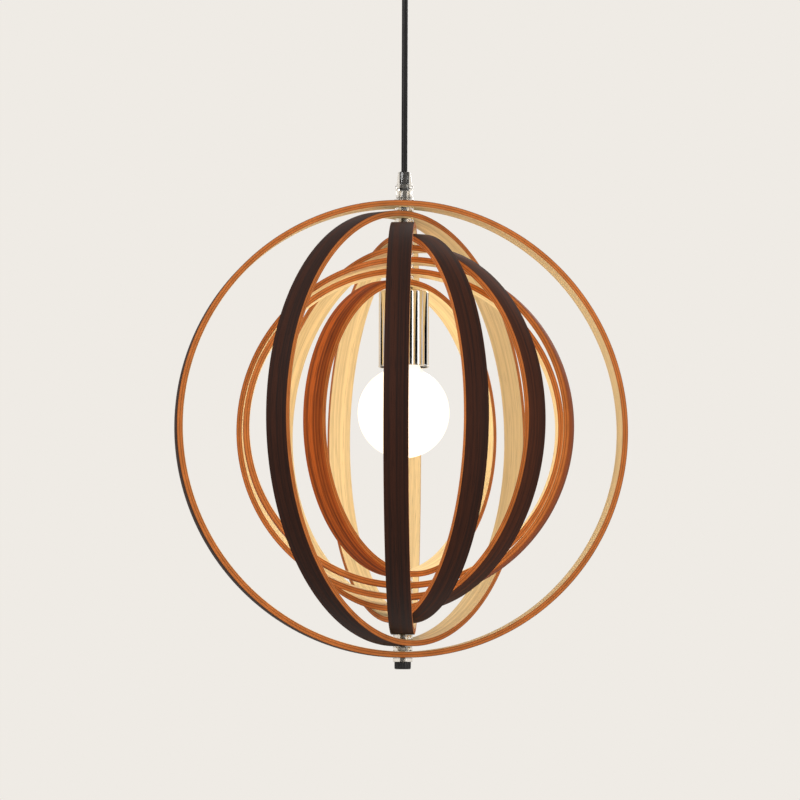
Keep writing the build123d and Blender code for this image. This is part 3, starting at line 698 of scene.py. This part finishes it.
def clear_glass():
    """Soda-lime glass of the post inside the bulb: clear, with the faintest green."""
    clear, tint = {"ior": 1.52, "transmission_weight": 1.0}, linear("F4F7F5")
    return even_finish("soda_lime_glass", tint, size=0.004, spread=0.01, roughness=(0.0, 0.04), **clear)


def black_phenolic():
    """Moulded phenolic of the lampholder: deep black, semi-gloss."""
    black = linear("1A1716")
    return even_finish(
        "black_phenolic", black, size=0.003, spread=0.15, roughness=(0.25, 0.38), bump=0.00002, ior=1.6
    )


def porcelain():
    """Glazed porcelain insert: warm white under a clear glaze."""
    glaze, white = {"ior": 1.5, "coat_weight": 0.6, "coat_roughness": 0.05}, linear("EDE8DC")
    return even_finish("glazed_porcelain", white, size=0.005, spread=0.03, roughness=(0.3, 0.4), **glaze)


def white_nylon():
    """Moulded nylon of the terminal block: milky white, matt."""
    white = linear("E6E4DC")
    return even_finish(
        "white_nylon", white, size=0.002, spread=0.04, roughness=(0.45, 0.6), bump=0.00002, ior=1.53
    )


def core_insulation():
    """PVC insulation of the two cores, brown on one side and blue on the other."""
    made, tree, shader = finish("core_insulation", ior=1.53)
    mottle(tree, shader, linear("5C3A22"), size=0.002, spread=0.1, roughness=(0.35, 0.5))
    brown = shader.inputs["Base Color"].links[0].from_socket
    place = add(tree, "ShaderNodeTexCoord").outputs["Object"]
    across = add(tree, "ShaderNodeSeparateXYZ", (0, place)).outputs["X"]
    is_right = add(tree, "ShaderNodeMath", (0, across), (1, 0.0), operation="GREATER_THAN")
    blue = (*linear("2F5FA8"), 1)
    both = add(tree, "ShaderNodeMix", (0, is_right), (6, brown), (7, blue), data_type="RGBA")
    feed(tree, shader, "Base Color", both)
    return made


wood_and_plastic = (bentwood, clear_plastic, cord_black, black_phenolic, white_nylon, core_insulation)
metals = (plated_steel, chromed_cup, black_metal, brass, nickel_plate, tungsten)
glass_and_ceramic = (opal_glass, clear_glass, porcelain)
maker_of = {maker.__name__: maker for maker in (*wood_and_plastic, *metals, *glass_and_ceramic)}
finishes_made = {}


def finish_for(slot):
    """The material of a slot, made when it is first asked for, by the function of the same name."""
    if slot not in finishes_made:
        finishes_made[slot] = maker_of[slot]()
    return finishes_made[slot]


# ---- Stage ----


def plainly_seen(tree):
    """1 where the camera sees a surface, also in a mirror or through glass, and 0 where light meets it."""
    ray = add(tree, "ShaderNodeLightPath").outputs
    direct, mirrored = ray["Is Camera Ray"], ray["Is Glossy Ray"]
    seen = add(tree, "ShaderNodeMath", (0, direct), (1, mirrored), operation="MAXIMUM")
    return add(tree, "ShaderNodeMath", (0, seen), (1, ray["Is Transmission Ray"]), operation="MAXIMUM")


def floor_paint():
    """Matt floor paint, seen mostly as pale as the background, with the lamp's shadow on the rest."""
    colours, pale_share = settings().colours, 0.7
    made, tree, paint = finish("matt_floor_paint", ior=1.5)
    mottle(tree, paint, colours.floor, size=0.2, spread=0.02, roughness=(0.7, 0.85))
    pale = add(tree, "ShaderNodeEmission", ("Color", (*colours.background, 1)), ("Strength", 1.0))
    share = add(tree, "ShaderNodeMath", (0, plainly_seen(tree)), (1, pale_share), operation="MULTIPLY")
    both = add(tree, "ShaderNodeMixShader", (0, share), (1, paint), (2, pale))
    surface = next(node for node in tree.nodes if node.type == "OUTPUT_MATERIAL")
    feed(tree, surface, "Surface", both)
    return made


def flag_cloth():
    """Black cloth of the flags: no gloss at all."""
    black = linear("0A0A0A")
    return even_finish(
        "black_flag_cloth", black, size=0.1, spread=0.2, roughness=(0.9, 1.0), specular_ior_level=0.0
    )


def add_camera():
    """The camera at the photograph's angle, aimed a little off the middle of the hoops, as there."""
    stage = settings().stage
    data = bpy.data.cameras.new("camera")
    data.lens = stage.focal_length
    data.sensor_width = 36.0
    data.clip_start = 0.05
    camera = show("camera", data)
    onwards = Vector((0, cos(stage.camera_rise), -sin(stage.camera_rise)))
    camera.location = Vector((0, 0, lamp_height)) - onwards * stage.camera_distance
    camera.rotation_mode = "QUATERNION"
    camera.rotation_quaternion = (
        onwards.to_track_quat("-Z", "Y")
        @ Quaternion((0, 0, 1), stage.camera_roll)
        @ Quaternion((1, 0, 0), stage.camera_tilt)
        @ Quaternion((0, 1, 0), stage.camera_pan)
    )
    bpy.context.scene.camera = camera


def add_lamps():
    """Three soft studio lamps, aimed at the middle of the hoops, each with its place, size and power."""
    for name, place, size, power in (
        ("key", (-1.6, -1.8, 0.9), 1.6, 36.0),
        ("fill", (1.9, -1.4, -0.2), 1.8, 18.0),
        ("rim", (0.8, 2.0, 0.7), 1.4, 16.0),
    ):
        light = bpy.data.lights.new(name, "AREA")
        light.shape = "DISK"
        light.size = size
        light.energy = power
        lamp = show(name, light)
        lamp.location = place
        toward = Vector((0, 0, lamp_height)) - Vector(place)
        lamp.rotation_mode = "QUATERNION"
        lamp.rotation_quaternion = toward.to_track_quat("-Z", "Y")


def add_bulb_light():
    """The bulb's own light, from inside its globe.

    It casts no shadows, as the light of the whole globe reaches every hoop's inside face.
    """
    globe_radius = width("bulb_globe") / 2
    glow = bpy.data.lights.new("bulb_light", "POINT")
    glow.color = settings().colours.glow
    glow.energy = settings().stage.bulb_power
    glow.shadow_soft_size = globe_radius / 3
    glow.use_shadow = False
    light = show("bulb_light", glow)
    light.location = (0, 0, low("bulb_globe")[2] + globe_radius)
    light.visible_camera = False
    light.visible_glossy = False


def add_flags():
    """Dark flags round the lamp that only a mirror sees. They give the chromed cup its dark streaks."""
    distance, height = 1.3, 1.2
    cloth = flag_cloth()
    for azimuth, half_width in ((33, 0.13), (60, 0.17), (85, 0.09), (122, 0.26)):
        for side, side_name in ((-1, "left"), (1, "right")):
            turn = radians(side * azimuth)
            outwards, along = Vector((sin(turn), -cos(turn), 0)), Vector((cos(turn), sin(turn), 0))
            foot = outwards * distance + Vector((0, 0, lamp_height - height / 2))
            left, right, rise = foot - along * half_width, foot + along * half_width, Vector((0, 0, height))
            mesh = bpy.data.meshes.new("flag")
            mesh.from_pydata([left, right, right + rise, left + rise], [], [(0, 1, 2, 3)])
            mesh.materials.append(cloth)
            flag = show(f"flag_{azimuth}_{side_name}", mesh)
            flag.visible_camera = False
            flag.visible_diffuse = False
            flag.visible_transmission = False
            flag.visible_shadow = False


def add_background():
    """A pale background where the camera sees it, and a softer light from all round on the rest."""
    world = bpy.context.scene.world or bpy.data.worlds.new("studio")
    bpy.context.scene.world = world
    world.use_nodes = True
    tree = world.node_tree
    tree.nodes.clear()
    sky, background = (*linear("F7F4EF"), 1), (*settings().colours.background, 1)
    lit = add(tree, "ShaderNodeBackground", ("Color", sky), ("Strength", settings().stage.sky_strength))
    seen = add(tree, "ShaderNodeBackground", ("Color", background), ("Strength", 1.0))
    both = add(tree, "ShaderNodeMixShader", (0, plainly_seen(tree)), (1, lit), (2, seen))
    add(tree, "ShaderNodeOutputWorld", ("Surface", both))


def add_floor():
    """A round floor that takes the lamp's shadow."""
    radius, thickness, edge_round = 5.0, 0.05, 0.01
    top = -settings().stage.floor_drop
    bottom = top - thickness
    corners = [(0, top, 0), (radius, top, edge_round), (radius, bottom, 0), (0, bottom, 0)]
    floor = turned("floor", rounded(corners))
    floor.data.materials.append(floor_paint())


# ---- Operators ----


class ORBLAMP_OT_stage(Operator):
    """Adds the camera, the lights, the floor and the background"""

    bl_idname = "orb_lamp.stage"
    bl_label = "Stage"

    def execute(self, context):
        context.scene.view_settings.view_transform = "Standard"
        add_camera()
        add_lamps()
        add_bulb_light()
        add_flags()
        add_background()
        add_floor()
        return {"FINISHED"}


class ORBLAMP_OT_cord(Operator):
    """Adds the cord, straight down from the canopy into the lampholder"""

    bl_idname = "orb_lamp.cord"
    bl_label = "Cord"

    def execute(self, context):
        diameter = settings().fittings.cord_diameter
        bottom, top = ends("power_cord")
        line = bpy.data.curves.new("cord_flex", "CURVE")
        line.dimensions = "3D"
        line.bevel_depth = diameter / 2
        line.bevel_resolution = 8
        line.use_fill_caps = True
        spline = line.splines.new("NURBS")
        heights = [top, top - 6 * diameter, bottom + 6 * diameter, bottom]
        spline.points.add(len(heights) - 1)
        for point, z in zip(spline.points, heights):
            point.co = (0, 0, z, 1)
        spline.order_u = 3
        spline.use_endpoint_u = True
        flex = show("cord_flex", line)
        stand_for(flex, "power_cord")
        return {"FINISHED"}


class ORBLAMP_OT_hoops(Operator):
    """Adds the nested bentwood hoops"""

    bl_idname = "orb_lamp.hoops"
    bl_label = "Hoops"

    def execute(self, context):
        sizes = settings().hoops
        tree = bent_strip_tree()
        # Each hoop gets its turn and its share of painted light on the outer face
        for place, (node, turn, tone) in enumerate(zip(hoop_nodes, sizes.angles, sizes.tones)):
            values = {
                "Radius": sizes.outer_radius - sizes.step * place,
                "Thickness": sizes.ply * sizes.ply_count,
                "Width": sizes.width,
                "Edge Round": sizes.edge_round,
                "Stem Hole": sizes.stem_hole,
                "Stud Hole": sizes.stud_hole,
                "Angle": turn,
                "Height": lamp_height,
                "Tone": tone,
            }
            grow(f"bent_{node}", node, tree, values)
        return {"FINISHED"}


class ORBLAMP_OT_spacers(Operator):
    """Adds the clear rings between the hoops at both poles"""

    bl_idname = "orb_lamp.spacers"
    bl_label = "Spacers"

    def execute(self, context):
        step = settings().hoops.step
        tree = ring_stack_tree()
        count = len(hoop_nodes) - 1
        for node in ("top_spacers", "bottom_spacers"):
            bottom, top = ends(node)
            ring_height = top - bottom - step * (count - 1)
            values = {
                "Count": count,
                "First Height": bottom + ring_height / 2,
                "Step": step,
                "Radius": width(node) / 2,
                "Bore": bore_for("stem_tube"),
                "Ring Height": ring_height,
                "Edge Round": settings().fittings.spacer_round,
            }
            grow(f"clear_{node}", node, tree, values)
        return {"FINISHED"}


class ORBLAMP_OT_grips(Operator):
    """Adds the two clear cord grips, each a flared body with a tapered cap"""

    bl_idname = "orb_lamp.grips"
    bl_label = "Cord grips"

    def execute(self, context):
        # The plastic grips the cord, so its bore is drawn a hair inside the sheath
        squeeze = 0.0001
        cord_bore = settings().fittings.cord_diameter / 2 - squeeze
        stem_bore, stem_depth = 0.00505, 0.009
        flange, flange_rise = 0.009, 0.0009
        shoulder, shoulder_rise = 0.0079, 0.0024
        waist, waist_rise = 0.0072, 0.0055
        mouth, socket, socket_depth = 0.008, 0.00445, 0.003
        plug, brim, nose, gap = 0.0044, 0.0067, 0.0056, 0.00002
        for end, outwards in (("lamp", 1), ("canopy", -1)):
            body, cap = f"{end}_grip_body", f"{end}_grip_cap"
            bottom, top = ends(body)
            seat, rise = bottom if outwards > 0 else top, top - bottom
            cap_bottom, cap_top = ends(cap)
            tip = rise + (cap_top - cap_bottom - socket_depth)
            barrel = [
                (stem_bore, 0, 0.0002),
                (flange, 0, 0.0003),
                (flange, flange_rise, 0.0003),
                (shoulder, shoulder_rise, 0.002),
                (waist, waist_rise, 0.006),
                (mouth, rise, 0.0012),
                (socket, rise, 0.0001),
                (socket, rise - socket_depth, 0),
                (cord_bore, rise - socket_depth, 0),
                (cord_bore, stem_depth, 0),
                (stem_bore, stem_depth, 0),
            ]
            clamp = [
                (cord_bore, rise - socket_depth, 0),
                (plug, rise - socket_depth, 0),
                (plug, rise + gap, 0),
                (brim, rise + gap, 0.0003),
                (nose, tip, 0.0008),
                (cord_bore, tip, 0.0002),
            ]
            for node, corners in ((body, barrel), (cap, clamp)):
                outline = rounded([(r, seat + outwards * z, rounding) for r, z, rounding in corners])
                stand_for(turned(f"clear_{node}", outline), node)
        return {"FINISHED"}


class ORBLAMP_OT_rods(Operator):
    """Adds the clear stem at the top poles and the threaded stud at the bottom poles"""

    bl_idname = "orb_lamp.rods"
    bl_label = "Stem and stud"

    def execute(self, context):
        wall = 0.001
        bore = width("stem_tube") / 2 - wall
        sleeve("clear_stem", "stem_tube", bore, (0.0001, 0.0003, 0.0003, 0.0001), segments=64)

        radius, pitch = width("bottom_stud") / 2, settings().fittings.stud_pitch
        bottom, top = ends("bottom_stud")
        rows_per_turn = 6
        rows = ceil(rows_per_turn * (top - bottom) / pitch)
        side = [(radius, bottom + (top - bottom) * i / rows) for i in range(rows + 1)]
        blank = turned("threaded_stud", [(0, bottom), *side, (0, top)], segments=32)
        values = {"Radius": radius, "Pitch": pitch, "Depth": 0.6 * pitch}
        grow("threaded_stud", "bottom_stud", thread_tree(), values, blank)
        return {"FINISHED"}


class ORBLAMP_OT_foot(Operator):
    """Adds the clear washer and the fluted knob nut under the hoops"""

    bl_idname = "orb_lamp.foot"
    bl_label = "Washer and knob nut"

    def execute(self, context):
        bore = bore_for("bottom_stud")
        sleeve("clear_washer", "bottom_washer", bore, (0.0002, 0.0005, 0.0005, 0.0002))

        node = "bottom_finial"
        radius, flute = width(node) / 2, 0.00055
        bottom, top = ends(node)
        drill_end = low("bottom_stud")[2] - clearance
        flutes, steps_per_flute = settings().fittings.finial_flutes, 16
        lower_round, upper_round, plain_rim = 0.0014, 0.0004, 0.0012
        outline = [
            (0, bottom),
            *arc((radius - lower_round, bottom + lower_round), lower_round, -90, 0),
            (radius, top - plain_rim),
            *arc((radius - upper_round, top - upper_round), upper_round, 0, 90),
            (bore, top),
            (bore, drill_end),
            (0, drill_end),
        ]
        blank = turned("fluted_knob", outline, segments=flutes * steps_per_flute)
        values = {"Radius": radius, "Flutes": float(flutes), "Flute Radius": flute}
        grow("fluted_knob", node, flute_tree(), values, blank)
        return {"FINISHED"}


class ORBLAMP_OT_cup(Operator):
    """Adds the chromed cup over the lampholder"""

    bl_idname = "orb_lamp.cup"
    bl_label = "Cup"

    def execute(self, context):
        node, sizes = "holder_cup", settings().fittings
        bead, wall, shoulder = sizes.cup_bead, sizes.cup_wall, sizes.cup_shoulder
        rim, top = ends(node)
        bead_middle = width(node) / 2 - bead
        outer = bead_middle + wall / 2
        hole = bore_for("stem_tube")
        swing = degrees(acos(wall / 2 / bead))
        outline = [
            (hole, top),
            *arc((outer - shoulder, top - shoulder), shoulder, 90, 0, 8),
            *arc((bead_middle, rim + bead), bead, swing, swing - 360 + 2 * (90 - swing), 16),
            *arc((outer - shoulder, top - shoulder), shoulder - wall, 0, 90, 8),
            (hole, top - wall),
        ]
        stand_for(turned("chromed_cup", outline, segments=160), node)
        return {"FINISHED"}


class ORBLAMP_OT_bulb(Operator):
    """Adds the opal glass globe with its neck"""

    bl_idname = "orb_lamp.bulb"
    bl_label = "Bulb"

    def execute(self, context):
        node, sizes = "bulb_globe", settings().fittings
        globe, glass, cap_metal, neck_step = width(node) / 2, 0.001, 0.00045, 0.0025
        bottom, mouth_top = ends(node)
        middle, cap_rim = bottom + globe, low("bulb_cap")[2]
        mouth = width("bulb_cap") / 2 - cap_metal
        blend, neck = sizes.globe_blend, sizes.globe_neck
        flare = sqrt((globe + blend) ** 2 - (neck + blend) ** 2)
        join = degrees(atan2(flare, neck + blend))
        outside, inside = [
            [
                *arc((0, middle), globe - inset, -90, join, 40),
                *arc((neck + blend, middle + flare), blend + inset, 180 + join, 180, 8),
                (neck - inset, cap_rim - neck_step),
                (mouth - inset, cap_rim - clearance),
                (mouth - inset, mouth_top),
            ]
            for inset in (0.0, glass)
        ]
        stand_for(turned("opal_globe", outside + inside[::-1], segments=128), node)
        return {"FINISHED"}


class ORBLAMP_OT_canopy(Operator):
    """Adds the ceiling canopy"""

    bl_idname = "orb_lamp.canopy"
    bl_label = "Canopy"

    def execute(self, context):
        node = "canopy"
        radius, wall, edge = width(node) / 2, 0.001, 0.009
        bottom, top = ends(node)
        hole = bore_for("stem_tube")
        outline = [
            (hole, bottom),
            *arc((radius - edge, bottom + edge), edge, -90, 0, 12),
            (radius, top),
            (radius - wall, top),
            *arc((radius - edge, bottom + edge), edge - wall, 0, -90, 12),
            (hole, bottom + wall),
        ]
        stand_for(turned("canopy_cover", outline, segments=128), node)
        return {"FINISHED"}


class ORBLAMP_OT_skirt(Operator):
    """Adds the lampholder's skirt, which shows inside the cup from below"""

    bl_idname = "orb_lamp.skirt"
    bl_label = "Lampholder skirt"

    def execute(self, context):
        node, wall = "holder_skirt", 0.00235
        sleeve("phenolic_skirt", node, width(node) / 2 - wall, (0.0008, 0.0008, 0.0006, 0.0002))
        return {"FINISHED"}


class ORBLAMP_OT_finishes(Operator):
    """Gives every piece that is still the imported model's own its finish"""

    bl_idname = "orb_lamp.finishes"
    bl_label = "Finishes of the other fittings"

    def execute(self, context):
        for name, node in nodes.items():
            if not node.hide_render:
                material = finish_for(slot_of[name])
                if not node.material_slots:
                    raise RuntimeError(f"{name} has no material slot")
                for place in node.material_slots:
                    place.material = material
        return {"FINISHED"}


build_order = (
    ORBLAMP_OT_stage,
    ORBLAMP_OT_cord,
    ORBLAMP_OT_hoops,
    ORBLAMP_OT_spacers,
    ORBLAMP_OT_grips,
    ORBLAMP_OT_rods,
    ORBLAMP_OT_foot,
    ORBLAMP_OT_cup,
    ORBLAMP_OT_bulb,
    ORBLAMP_OT_canopy,
    ORBLAMP_OT_skirt,
    ORBLAMP_OT_finishes,
)


class ORBLAMP_PT_panel(Panel):
    """Lists the lamp's operators, sizes and colours"""

    bl_idname = "ORBLAMP_PT_panel"
    bl_label = "Orb lamp"
    bl_space_type = "VIEW_3D"
    bl_region_type = "UI"
    bl_category = "Orb Lamp"

    def draw(self, context):
        lamp = context.scene.orb_lamp
        for group in lamp.bl_rna.properties:
            if group.type == "POINTER" and group.identifier != "rna_type":
                box = self.layout.box()
                box.label(text=group.name)
                values = getattr(lamp, group.identifier)
                for value in values.bl_rna.properties:
                    if value.identifier not in ("rna_type", "name"):
                        box.prop(values, value.identifier)
        for operator in build_order:
            self.layout.operator(operator.bl_idname)


groups = (OrbLampHoops, OrbLampFittings, OrbLampColours, OrbLampStage, OrbLampSettings)
registered = (*groups, *build_order, ORBLAMP_PT_panel)


def register():
    for each in registered:
        bpy.utils.register_class(each)
    bpy.types.Scene.orb_lamp = PointerProperty(type=OrbLampSettings)


def unregister():
    del bpy.types.Scene.orb_lamp
    for each in reversed(registered):
        bpy.utils.unregister_class(each)


def main():
    register()
    for operator in build_order:
        group, name = operator.bl_idname.split(".")
        getattr(getattr(bpy.ops, group), name)()


if __name__ == "__main__":
    main()
